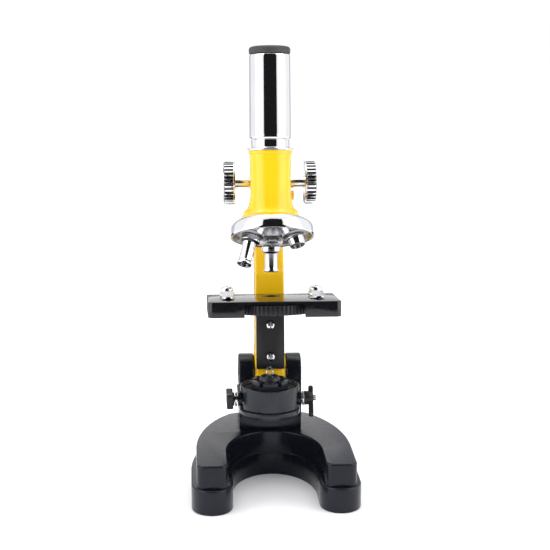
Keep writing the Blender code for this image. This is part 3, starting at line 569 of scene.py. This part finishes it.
def make_pivot():
    start = -16.0
    section = [(0, start), (4.0, start), (4.6, start + 0.5), (4.6, start + 1.6), (2.4, start + 1.6),
               (2.4, 15.8), (0, 15.8)]
    bolt = turned("bolt", section, 56, PIVOT, "X", 0.25)
    cut(bolt, block((start - 1, PIVOT[1] - 6, PIVOT[2] - 0.5), (start + 0.8, PIVOT[1] + 6, PIVOT[2] + 0.5)))
    show(bolt, "base", "bright_steel", "pivot_bolt", place=BENCH)
    nut = prism("nut", arc(PIVOT[1:], 4.8, 0, 300, 5), 14.4, 15.9, "X", bevel=0.25)
    cut(nut, rod(2.45, 10, 20, "X", PIVOT))
    show(nut, "base", "bright_steel", "pivot_nut", place=BENCH)


# ---------------------------------------------------------------- lamp

def make_lamp():
    over_lamp = (0, LAMP_AXIS[1], 0)
    section = [(0, 41.6), (15.0, 41.6), (15.0, 52.7), (13.7, 52.7), (13.0, 51.0), (6.0, 51.0),
               (6.0, 44.0), (0, 44.0)]
    housing = turned("housing", section, 128, over_lamp, ease=0.45)
    for low, high in ((-17, -LAMP_FLAT), (LAMP_FLAT, 17)):
        cut(housing, block((low, LAMP_AXIS[1] - 10, 41), (high, LAMP_AXIS[1] + 10, 50.0)))
    cut(housing, rod(1.8, -20, 20, "X", LAMP_AXIS))
    show(housing, "lamp", "slate_plastic", "lamp_housing", place=LAMP)
    section = [(0, 37.0), (11.0, 37.0), (13.9, 37.4), (15.4, 38.6), (15.4, 41.0), (13.9, 41.3), (0, 41.3)]
    cover = turned("cover", section, FINE, over_lamp, ease=0.6)
    show(cover, "lamp", "slate_plastic", "lamp_lower_cover", place=LAMP)
    section = [(5.9, 51.3), (9.4, 51.3), (9.4, 55.4), (5.9, 55.4)]
    collar = turned("collar", section, FINE, over_lamp, ease=0.5)
    for step in range(3):
        slot = block((-12, -1.1, 53.4), (12, 1.1, 58))
        turn = Matrix.Rotation(math.pi * step / 3, 4, "Z")
        cut(collar, moved(slot, Matrix.Translation(over_lamp) @ turn))
    show(collar, "lamp", "slate_plastic", "lamp_collar", place=LAMP)
    section = [(0, 46.5), (5.5, 46.5), (5.5, 55.6), (4.6, 57.2), (2.5, 57.4), (2.5, 53.0), (0, 53.0)]
    holder = turned("holder", section, 64, over_lamp, ease=0.4)
    show(holder, "lamp", "slate_plastic", "bulb_holder", place=LAMP)
    bulb = [(0, 55.2), (1.9, 55.2), (1.9, 59.6)] + arc((0, 59.6), 1.9, 10, 80, 8, 1.3) + [(0, 62.1)]
    show(turned("bulb", bulb, SMALL, over_lamp), "lamp", "clear_glass", "lamp_bulb", place=LAMP)
    cap = [(0, 53.3), (1.2, 53.3), (2.1, 53.9), (1.95, 54.1), (2.1, 54.3), (1.95, 54.5), (2.1, 54.9),
           (0, 54.9)]
    show(turned("cap", cap, SMALL, over_lamp), "lamp", "gear_brass", "bulb_base", place=LAMP)


def make_lamp_screws():
    _, y, z = LAMP_AXIS
    wing = [(y - 7.2, z - 3.6), (y - 7.2, z + 3.6), (y - 5.4, z + 4.0), (y, z + 2.6), (y + 5.4, z + 4.0),
            (y + 7.2, z + 3.6), (y + 7.2, z - 3.6), (y, z - 2.6)]
    thumb = rod(1.45, -21.6, -10.5, "X", LAMP_AXIS, ease=0.3)
    joined(thumb, rod(3.4, -19.6, -17.9, "X", LAMP_AXIS, 48, 0.4))
    joined(thumb, prism("wing", eased(wing, 1.0), -21.9, -18.6, "X", bevel=0.6))
    show(thumb, "thumb_screw", "black_plastic", "lamp_thumb_screw", place=LAMP)
    for body, node, low, high in (("thumb_screw", "thumb_washer", -17.6, -16.5),
                                  ("lamp", "stud_washer", 16.5, 17.2)):
        section = [(1.8, low), (3.7, low), (3.7, high), (1.8, high)]
        washer = turned("washer", section, 56, LAMP_AXIS, "X", 0.15)
        show(washer, body, "bright_steel", node, place=LAMP)
    section = [(0, 10.5), (1.5, 10.5)]
    for step in range(15):
        section += [(1.5, 17.4 + step * 0.4), (1.33, 17.6 + step * 0.4)]
    stud = turned("stud", section + [(1.3, 23.6), (0, 23.6)], 32, LAMP_AXIS, "X")
    show(stud, "lamp", "bright_steel", "lamp_stud", place=LAMP)


def make_wing_nut():
    _, y, z = LAMP_AXIS
    section = [(1.8, 17.5), (3.6, 17.5), (3.4, 20.0), (2.9, 22.0), (1.8, 22.0)]
    nut = turned("nut", section, 48, LAMP_AXIS, "X", 0.2)
    for side, turn, reach in ((-1, math.radians(12), 9.6), (1, math.radians(30), 6.2)):
        blade = [(-1.9, 2.4), (-2.4, reach - 1.6), (-1.3, reach),
                 (1.3, reach), (2.4, reach - 1.6), (1.9, 2.4)]
        placed = []
        for along, out in eased(blade, 0.8):
            placed.append((y + along * math.cos(turn) + side * out * math.sin(turn),
                           z - along * math.sin(turn) + side * out * math.cos(turn)))
        joined(nut, prism("blade", placed, 19.8, 22.1, "X", bevel=0.6))
    show(nut, "wing_nut", "black_plastic", "lamp_wing_nut", place=LAMP)


# ---------------------------------------------------------------- arm and stage

def make_arm():
    front = smooth_line([(14.6, 60), (14.6, 98), (15.6, 107), (18.7, 119)])
    corners = [(18.7, 119), (18.7, 147.3), (12.2, 147.3), (12.2, 166.0), (25.0, 166.0), (31.5, 161)]
    corners = eased(corners, 1.6, False)
    back = smooth_line([(31.5, 161), (35.6, 147), (36.4, 133), (34.2, 117), (30.2, 101), (28.2, 85),
                        (30.0, 68)])
    outline = arc(PIVOT[1:], 9.4, 0, -180, 48) + front + corners[1:-1] + back
    arm = prism("arm", outline, -7.5, 7.5, "X", bevel=1.1, segments=4)
    lobe = arc(PIVOT[1:], 9.0, 5, -185, 44) + [(15.2, 60), (29.0, 66)]
    joined(arm, prism("lobe", lobe, -7.9, 7.9, "X", bevel=0.5))
    head = eased([(12.3, 147.4), (12.3, 165.9), (24.9, 165.9), (30.8, 160), (31.0, 147.4)], 2.0)
    joined(arm, prism("head", head, -9.4, 9.4, "X", bevel=1.3, segments=4))
    joined(arm, prism("lug", arc((20.5, 144.2), 2.6, 0, 350, 35), 5, 13.2, "X", bevel=0.6))
    cut(arm, block((-3.6, 10, 140), (3.6, 15, 170)), block((-4.9, 13.6, 140), (4.9, 18.6, 170)))
    cut(arm, rod(5.2, -3.2, 3.2, "X", SHAFT_AXIS), rod(2.3, -20, 20, "X", SHAFT_AXIS))
    cut(arm, rod(2.7, -20, 20, "X", PIVOT))
    for z in STAGE_SCREWS:
        cut(arm, rod(1.3, 8, 22, "Y", (0, 0, z), 24))
    show(arm, "arm", "yellow_paint", "arm")


def rounded_plan(half_width, front, rear, corner):
    """A plate's plan with its two front corners rounded."""
    half = arc((half_width - corner, front + corner), corner, 270, 360, 14) + [(half_width, rear)]
    return half + [(-x, y) for x, y in reversed(half)]


def crossed(screw, centre, low, high, axis, half_length):
    """Cuts a cross recess into a screw's head."""
    for u, v in ((0.32, half_length), (half_length, 0.32)):
        if axis == "Y":
            tool = block((-u, low, centre[2] - v), (u, high, centre[2] + v))
        else:
            tool = block((centre[0] - u, centre[1] - v, low), (centre[0] + u, centre[1] + v, high))
        cut(screw, tool)
    return screw


def make_stage():
    stage = prism("stage", rounded_plan(32.5, -31.0, 14.3, 3), STAGE_BOTTOM, STAGE_TOP, bevel=0.45)
    cut(stage, prism("hollow", rounded_plan(30.7, -29.2, 12.5, 1.5), 80, STAGE_UNDERSIDE))
    cut(stage, block((-14.8, -40, 80), (14.8, -28, STAGE_UNDERSIDE)))
    hole = [(0, 80), (4.4, 80), (4.4, 93.2), (5.1, 93.95), (5.1, 95), (0, 95)]
    cut(stage, turned("hole", hole, 64))
    joined(stage, block((-7.2, 11.3, 55.2), (7.2, 14.3, 92.9), bevel=0.3))
    joined(stage, rod(3.0, 92.2, 93.1, "Z", (*WHEEL_AXIS[:2], 0)))
    cut(stage, rod(1.2, 80, 93.2, "Z", (*WHEEL_AXIS[:2], 0), 24))
    for z in STAGE_SCREWS:
        cut(stage, rod(1.5, 5, 20, "Y", (0, 0, z), 24))
    for side in (-1, 1):
        cut(stage, rod(1.4, 80, 95, "Z", (side * CLIP_X, 0, 0), 24))
    show(stage, "arm", "black_paint", "stage")
    for number, z in enumerate(STAGE_SCREWS, 1):
        section = [(0, 9.1), (1.2, 9.15), (1.9, 9.6), (2.2, 10.3), (2.2, 11.0), (1.1, 11.0), (1.1, 21),
                   (0, 21)]
        screw = turned("screw", section, 48, (0, 0, z), "Y")
        crossed(screw, (0, 0, z), 5, 9.75, "Y", 1.4)
        show(screw, "arm", "bright_steel", f"stage_screw_{number}")


def make_filter_wheel():
    spot = (*WHEEL_AXIS[:2], 0)
    ridge = ((-0.32, 0.1), (-0.24, 0.9), (-0.12, 1.0), (0.12, 1.0), (0.24, 0.9), (0.32, 0.1), (0.5, 0.0))
    wheel = prism("wheel", ridged(WHEEL_AXIS[:2], 60, 19.4, 20.0, ridge), 86.9, 91.9, bevel=0.2, segments=2)
    cut(wheel, turned("trough", [(4.0, 80), (17.6, 80), (17.6, 90.3), (4.0, 90.3)], FINE, spot))
    for step, radius in enumerate(WINDOW_RADII):
        angle = math.radians(90 + 360 / len(WINDOW_RADII) * step)
        reach = -WHEEL_AXIS[1]
        window = (reach * math.cos(angle), WHEEL_AXIS[1] + reach * math.sin(angle), 0)
        cut(wheel, rod(radius, 80, 95, "Z", window, 48))
    cut(wheel, rod(1.7, 80, 95, "Z", spot))
    show(wheel, "filter_wheel", "black_plastic", "filter_wheel")
    section = [(0, 85.1), (2.4, 85.1), (3.2, 85.7), (3.2, 86.5), (1.3, 86.5), (1.3, 91.9), (1.0, 91.9),
               (1.0, 92.9), (0, 92.9)]
    screw = turned("screw", section, 48, spot)
    crossed(screw, spot, 80, 85.8, "Z", 1.6)
    show(screw, "arm", "bright_steel", "wheel_screw")


def make_clips():
    for side, word in ((-1, "left"), (1, "right")):
        x = side * CLIP_X
        line = [(2.6, 96.2), (-3.5, 96.2), (-8, 96.9), (-14, 95.8), (-18.5, 94.4), (-21.5, 95.3)]
        line = smooth_line(line, 8)
        lower = [(y, z - 0.25) for y, z in line]
        upper = [(y, z + 0.25) for y, z in reversed(line)]
        strip = prism("strip", lower + upper, x - 3.0, x + 3.0, "X", bevel=0.08, segments=2)
        joined(strip, rod(3.9, 95.92, 96.48, "Z", (x, 0, 0), 56, 0.1))
        outline = [(x - 5, -24), (x - 5, -18.4), (x - 3.0, -18.4)]
        outline += arc((x, -18.5), 3.0, 180, 360, 24)
        outline += [(x + 3.0, -18.4), (x + 5, -18.4), (x + 5, -24)]
        trim = prism("trim", outline, 90, 100)
        cut(strip, trim, rod(1.6, 90, 98, "Z", (x, 0, 0)))
        show(strip, "clip_" + word, "bright_steel", "clip_" + word)
        section = [(0, 90.4), (1.1, 90.4), (1.1, 94.2), (1.3, 94.2), (1.3, 96.8), (3.3, 96.8), (3.3, 97.8),
                   (2.9, 98.6), (1.8, 99.05), (0, 99.2)]
        screw = turned("screw", section, 56, (x, 0, 0), ease=0.15)
        crossed(screw, (x, 0, 0), 98.1, 101, "Z", 1.9)
        show(screw, "arm", "chrome_plate", "clip_screw_" + word)
        section = [(1.6, 94.2), (3.9, 94.2), (3.9, 95.6), (1.6, 95.6)]
        spacer = turned("spacer", section, 56, (x, 0, 0), ease=0.25)
        show(spacer, "arm", "chrome_plate", "clip_spacer_" + word)


# ---------------------------------------------------------------- focus drive

def make_focus_drive():
    show(rod(2.0, -22.0, 23.2, "X", SHAFT_AXIS, ease=0.3), "focus_drive", "bright_steel", "focus_shaft")
    ridge = ((-0.27, 0.0), (-0.24, 0.75), (-0.14, 1.0), (0.14, 1.0), (0.24, 0.75), (0.27, 0.0))
    for side, word, shift in ((-1, "left", 0.0), (1, "right", RIGHT_KNOB_SHIFT)):
        def span(near, far):
            return sorted((side * near + shift, side * far + shift))

        outline = ridged(SHAFT_AXIS[1:], 34, 10.2, 11.2, ridge)
        knob = prism("knob", outline, *span(17.9, 22.8), "X", bevel=0.12, segments=2)
        for near, far, radius in ((17.3, 18.3, 10.95), (22.4, 23.1, 10.4)):
            joined(knob, rod(radius, *span(near, far), "X", SHAFT_AXIS, FINE, 0.3))
        joined(knob, rod(2.9, *span(9.8 - shift, 18.0), "X", SHAFT_AXIS, 56, 0.25))
        dish = [(0, 21.9), (3.2, 21.9), (3.8, 22.35), (7.6, 22.3), (8.8, 23.2), (8.8, 25), (0, 25)]
        cut(knob, turned("dish", [(r, side * h + shift) for r, h in dish], FINE, SHAFT_AXIS, "X"))
        cut(knob, rod(2.25, *span(5, 21.6), "X", SHAFT_AXIS))
        show(knob, "focus_drive", "chrome_plate", "focus_knob_" + word, finish="knurled_plate")


# ---------------------------------------------------------------- tube and eyepiece

def make_tube():
    outside = smooth_line([(18.4, 129.2), (16.4, 131.2), (15.0, 133.6), (13.3, 136.0), (11.6, 138.8),
                           (10.7, 141.8), (10.2, 146.5), (10.3, 158.0), (10.6, 165.4)], 5)
    section = [(8.3, 141), (13.9, 136.6), (13.9, 120), (18.4, 120)] + outside
    section += eased([(10.6, 165.4), (11.1, 165.9), (11.1, 167.3), (8.3, 167.3)], 0.35, False)[1:]
    body = turned("body", section, 128)
    below = block((-30, -40, 90), (30, 40, 132.5))
    cut(body, moved(below, about((0, 0, 132.5), -8.5, "X")))
    joined(body, block((-3.3, 9.0, 139.5), (3.3, 14.6, 163.5), bevel=0.2))
    joined(body, block((-4.6, 13.9, 139.5), (4.6, 15.2, 163.5), bevel=0.2))
    show(body, "tube", "yellow_paint", "body_tube")
    section = [(7.0, 143), (7.95, 143), (7.95, 167.6), (11.7, 167.6), (11.7, 168.3), (9.7, 168.9),
               (9.7, 172.7), (7.95, 172.7), (7.95, 188), (7.0, 188)]
    draw = turned("draw", section, 128, ease=0.18)
    show(draw, "tube", "chrome_plate", "draw_tube")
    seat = turned("seat", [(4.2, 135.8), (4.2, 110), (13.2, 110), (13.2, 135.8)], FINE)
    under = block((-30, -40, -60), (30, 40, 8.3))
    cut(seat, moved(under, TURRET_SEAT), moved(rod(1.5, -10, 30, segments=24), TURRET_SEAT))
    show(seat, "tube", "chrome_plate", "nosepiece_seat")


def make_eyepiece():
    section = [(8.25, 173.0), (10.3, 173.0), (10.6, 173.7), (10.6, 174.4), (10.45, 175.2), (10.3, 214.0),
               (10.1, 214.9), (9.0, 214.9), (9.0, 210.0), (8.25, 210.0)]
    show(turned("barrel", section, 128, ease=0.3), "eyepiece", "chrome_plate", "eyepiece_barrel")
    cup = [(5.6, 215.2), (10.3, 215.2), (10.4, 216.6), (10.35, 217.8), (9.7, 218.6), (8.0, 219.0),
           (6.6, 218.7), (5.6, 217.8)]
    show(turned("cup", cup, FINE, ease=0.5), "eyepiece", "eyecup_rubber", "eyecup")
    dome = [(0, 211.6), (6.0, 212.2), (6.0, 213.2), (4.8, 213.75), (3.2, 214.25), (1.6, 214.52), (0, 214.6)]
    show(turned("lens", dome, 64), "eyepiece", "clear_glass", "eye_lens")
    ring = [(6.3, 210.6), (8.7, 210.6), (8.7, 214.2), (6.3, 214.2)]
    show(turned("ring", ring, FINE, ease=0.25), "eyepiece", "black_plastic", "eye_lens_ring")


# ---------------------------------------------------------------- turret

def slanted(made, azimuth):
    """Stands a piece drawn down the optical axis, from the apex, at its place around the turret's axis."""
    turn = Matrix.Rotation(math.radians(azimuth - 90), 4, "Z")
    lean = Matrix.Rotation(TURRET_SLANT, 4, "X")
    return moved(made, Matrix.Translation((0, 0, TURRET_PLANE)) @ turn @ lean)


def make_turret():
    outside = smooth_line([(13.0, 8.0), (17.6, 7.4), (19.6, 6.2), (20.5, 4.4), (20.95, 0.4)], 5)
    inside = [(20.6, -0.35), (19.6, -0.3), (19.2, 0.6), (18.0, 2.2), (16.0, 2.8), (9.0, 2.6), (7.4, 1.2),
              (6.6, -0.9), (5.6, -1.4), (2.3, -1.4)]
    body = turned("turret", [(2.3, 8.0)] + outside + eased(inside, 0.5, False), FINE)
    for azimuth, _ in OBJECTIVES.values():
        boss = [(0, -42.6), (5.4, -42.6), (6.3, -42.0), (6.8, -39.6), (7.6, -36.4), (0, -36.4)]
        joined(body, slanted(turned("boss", boss, 56, ease=0.4), azimuth))
    for azimuth in (30, 150, 270):
        rib = prism("rib", [(-0.8, 4), (0.8, 4), (0.8, 18.6), (-0.8, 18.6)], 0.6, 4.0, bevel=0.25)
        joined(body, moved(rib, Matrix.Rotation(math.radians(azimuth - 90), 4, "Z")))
    cut(body, block((-30, -30, 8.0), (30, 30, 30)))
    for azimuth, _ in OBJECTIVES.values():
        cut(body, slanted(rod(3.7, -60, -20, segments=48), azimuth))
    cut(body, rod(2.3, -10, 20))
    show(body, "turret", "chrome_plate", "turret", place=TURRET, finish="turret_plate")


def make_objectives():
    for word, (azimuth, tip) in OBJECTIVES.items():
        shoulder = -44.0 if word == "short" else -45.4
        profile = [(2.6, -37.5), (2.6, tip), (3.5, tip), (3.7, tip + 0.5), (3.65, tip + 1.0),
                   (3.2, tip + 2.2), (3.3, shoulder - 0.9), (4.5, shoulder - 0.2), (4.7, shoulder),
                   (4.7, -42.9), (3.4, -42.9), (3.4, -37.5)]
        if word == "short":
            profile[3:8] = [(3.8, tip + 0.5), (4.3, shoulder - 0.3)]
        barrel = turned("barrel", profile, 80, ease=0.18)
        show(slanted(barrel, azimuth), "turret", "chrome_plate", "objective_" + word, place=TURRET,
             finish="objective_plate")
        dome = [(0, tip + 0.6), (1.2, tip + 0.66), (2.3, tip + 0.9), (2.3, tip + 2.0), (0, tip + 2.0)]
        lens = turned("lens", dome, SMALL)
        show(slanted(lens, azimuth), "turret", "clear_glass", "objective_lens_" + word, place=TURRET,
             finish="coated_glass")


def make_turret_screw():
    section = [(0, -3.6), (2.6, -3.6), (3.8, -2.9), (3.8, -1.7), (2.0, -1.7), (2.0, 8.0), (1.3, 8.0),
               (1.3, 12.0), (0, 12.0)]
    screw = turned("screw", section, 48, ease=0.2)
    cut(screw, block((-5, -0.5, -5), (5, 0.5, -2.8)))
    show(screw, "turret", "bright_steel", "turret_screw", place=TURRET)


# ---------------------------------------------------------------- studio

def make_floor():
    floor = prism("floor", arc((0, 0), 12.0, 0, 354, 59), -0.02, 0.0)
    finish = Finish("white_floor", 0.6)
    finish.shader.inputs["Specular IOR Level"].default_value = 0.0
    finish.colour(finish.noise(300.0, 2.0), (0.3, (0.965, 0.965, 0.985)), (0.7, (0.975, 0.975, 0.99)))
    floor.data.materials.append(finish.material)


def make_softbox(name, place, size, power):
    """A rectangular light that faces the middle of the object."""
    light = bpy.data.lights.new(name, "AREA")
    light.shape = "RECTANGLE"
    light.size, light.size_y = size
    light.energy = power
    made = bpy.data.objects.new(name, light)
    bpy.context.collection.objects.link(made)
    made.location = place
    aim = Vector((0, 0, 0.11)) - made.location
    made.rotation_euler = aim.to_track_quat("-Z", "Y").to_euler()


def make_card(name, outline, low, high, shade):
    """A board near the object, seen only in reflections; shade is how bright it is."""
    card = prism(name, outline, low, high)
    card.data.materials.append(bpy.data.materials.new(name))
    card.data.materials[0].use_nodes = True
    shader = card.data.materials[0].node_tree.nodes["Principled BSDF"]
    shader.inputs["Base Color"].default_value = (0.0, 0.0, 0.0, 1)
    shader.inputs["Specular IOR Level"].default_value = 0.0
    shader.inputs["Emission Color"].default_value = (shade, shade, shade * 1.12, 1)
    shader.inputs["Emission Strength"].default_value = 1.0
    card.visible_camera = False
    card.visible_diffuse = False
    card.visible_shadow = False
    card.visible_transmission = False


def make_studio():
    make_floor()
    for name, left, right, y, high, shade in (("dark_flag", -1.02, 0.94, -1.30, 2.2, 0.013),
                                              ("grey_left", -1.10, -0.20, 1.20, 1.0, 0.62),
                                              ("grey_right", 0.20, 1.10, 1.20, 1.0, 0.62)):
        make_card(name, [(left, y), (right, y), (right, y + 0.02), (left, y + 0.02)], -0.1, high, shade)
    for turn in (-42, 0, 42):
        strip = [Matrix.Rotation(math.radians(turn), 2) @ Vector(corner)
                 for corner in ((-0.055, 0.2), (0.055, 0.2), (0.16, 1.0), (-0.16, 1.0))]
        make_card("floor_strip", [tuple(corner) for corner in strip], 0.002, 0.004, 0.013)
    make_softbox("softbox_left", (-1.0, -0.35, 0.55), (0.9, 1.3), 6.0)
    make_softbox("softbox_right", (1.0, -0.35, 0.55), (0.9, 1.3), 6.0)
    make_softbox("softbox_top", (0.0, 0.25, 1.3), (1.2, 1.0), 7.0)
    world = bpy.data.worlds.new("white_studio")
    world.use_nodes = True
    world.node_tree.nodes["Background"].inputs["Color"].default_value = (1.0, 1.0, 1.0, 1.0)
    world.node_tree.nodes["Background"].inputs["Strength"].default_value = 1.05
    bpy.context.scene.world = world
    bpy.context.scene.view_settings.view_transform = "Standard"


def make_camera():
    """The studio view: a little to the left of the front, and eleven degrees above it."""
    camera = bpy.data.cameras.new("camera")
    camera.lens = 96.2
    camera.sensor_width = 36.0
    made = bpy.data.objects.new("camera", camera)
    bpy.context.collection.objects.link(made)
    target = Vector((1.5, 0.0, 108.4)) * MM
    distance = 0.735
    azimuth = math.radians(-3.5)
    height = math.radians(11.2)
    level = math.cos(height)
    away = Vector((math.sin(azimuth) * level, -math.cos(azimuth) * level, math.sin(height)))
    made.location = target + away * distance
    made.rotation_euler = (-away).to_track_quat("-Z", "Y").to_euler()
    bpy.context.scene.camera = made


def main():
    make_camera()
    finish_cad_nodes()
    make_base()
    make_pivot()
    make_lamp()
    make_lamp_screws()
    make_wing_nut()
    make_arm()
    make_stage()
    make_filter_wheel()
    make_clips()
    make_focus_drive()
    make_tube()
    make_eyepiece()
    make_turret()
    make_objectives()
    make_turret_screw()
    make_studio()


main()
